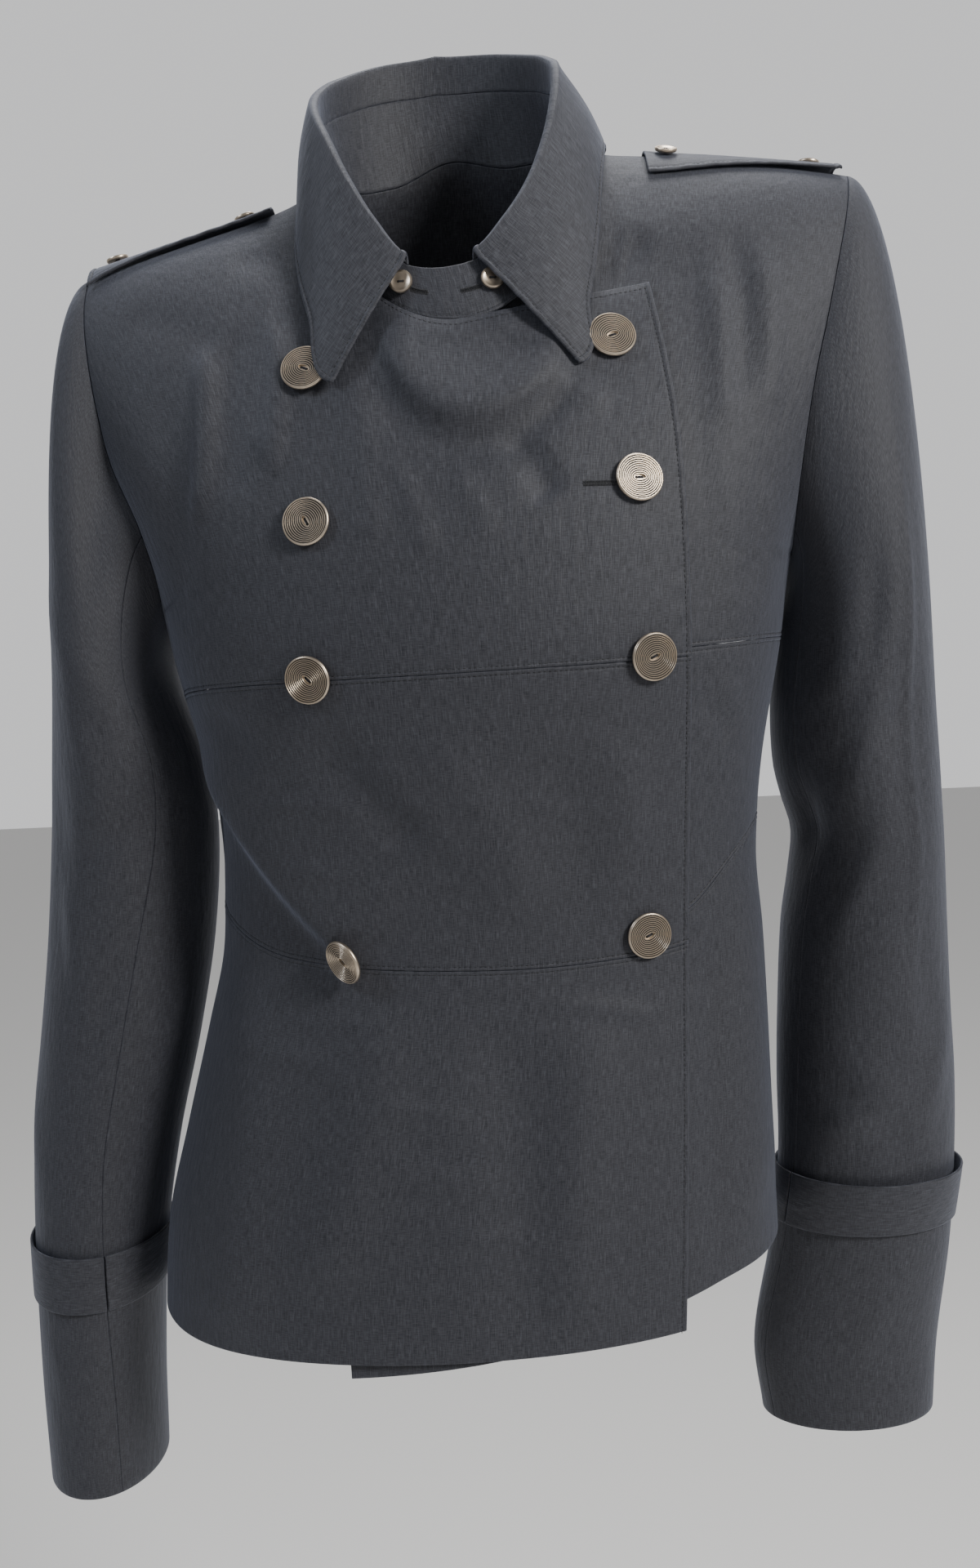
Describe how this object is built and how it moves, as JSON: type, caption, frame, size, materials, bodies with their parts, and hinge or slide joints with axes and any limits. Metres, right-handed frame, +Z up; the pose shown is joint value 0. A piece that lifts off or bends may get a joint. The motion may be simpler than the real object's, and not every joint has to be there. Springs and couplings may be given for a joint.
{
  "type": "military-style jacket",
  "caption": "Fitted double-breasted jacket with shirt collar, shoulder straps, cuff straps and metal buttons, worn and empty.",
  "frame": {"origin": "between the shoulders at the height of the side neck, where the jacket is worn", "axes": "+X to the wearer's left, +Y to the back, +Z up"},
  "size_m": [0.5381, 0.2298, 0.7906],
  "materials": {
    "body_cloth": "light plain-woven cloth with fine slubs and a slight sheen, charcoal with a navy cast",
    "button_metal": "pale old gold, worn, with dark recesses between raised rings"
  },
  "bodies": {
    "root": {"right_front_upper": "body_cloth", "right_front_middle": "body_cloth", "right_front_skirt": "body_cloth", "left_front_upper": "body_cloth", "left_front_middle": "body_cloth", "left_front_skirt": "body_cloth", "back_upper": "body_cloth", "back_middle": "body_cloth", "back_skirt": "body_cloth", "right_top_sleeve": "body_cloth", "right_under_sleeve": "body_cloth", "left_top_sleeve": "body_cloth", "left_under_sleeve": "body_cloth", "right_cuff_strap": "body_cloth", "right_cuff_strap_under": "body_cloth", "left_cuff_strap": "body_cloth", "left_cuff_strap_under": "body_cloth", "collar_stand": "body_cloth", "collar_fall": "body_cloth", "right_shoulder_strap": "body_cloth", "left_shoulder_strap": "body_cloth", "button_right_1": "button_metal", "button_right_2": "button_metal", "button_right_3": "button_metal", "button_right_4": "button_metal", "button_left_1": "button_metal", "button_left_2": "button_metal", "button_left_3": "button_metal", "button_left_4": "button_metal", "button_stand_right": "button_metal", "button_stand_left": "button_metal", "button_shoulder_right_in": "button_metal", "button_shoulder_right_out": "button_metal", "button_shoulder_left_in": "button_metal", "button_shoulder_left_out": "button_metal"}
  },
  "joints": []
}
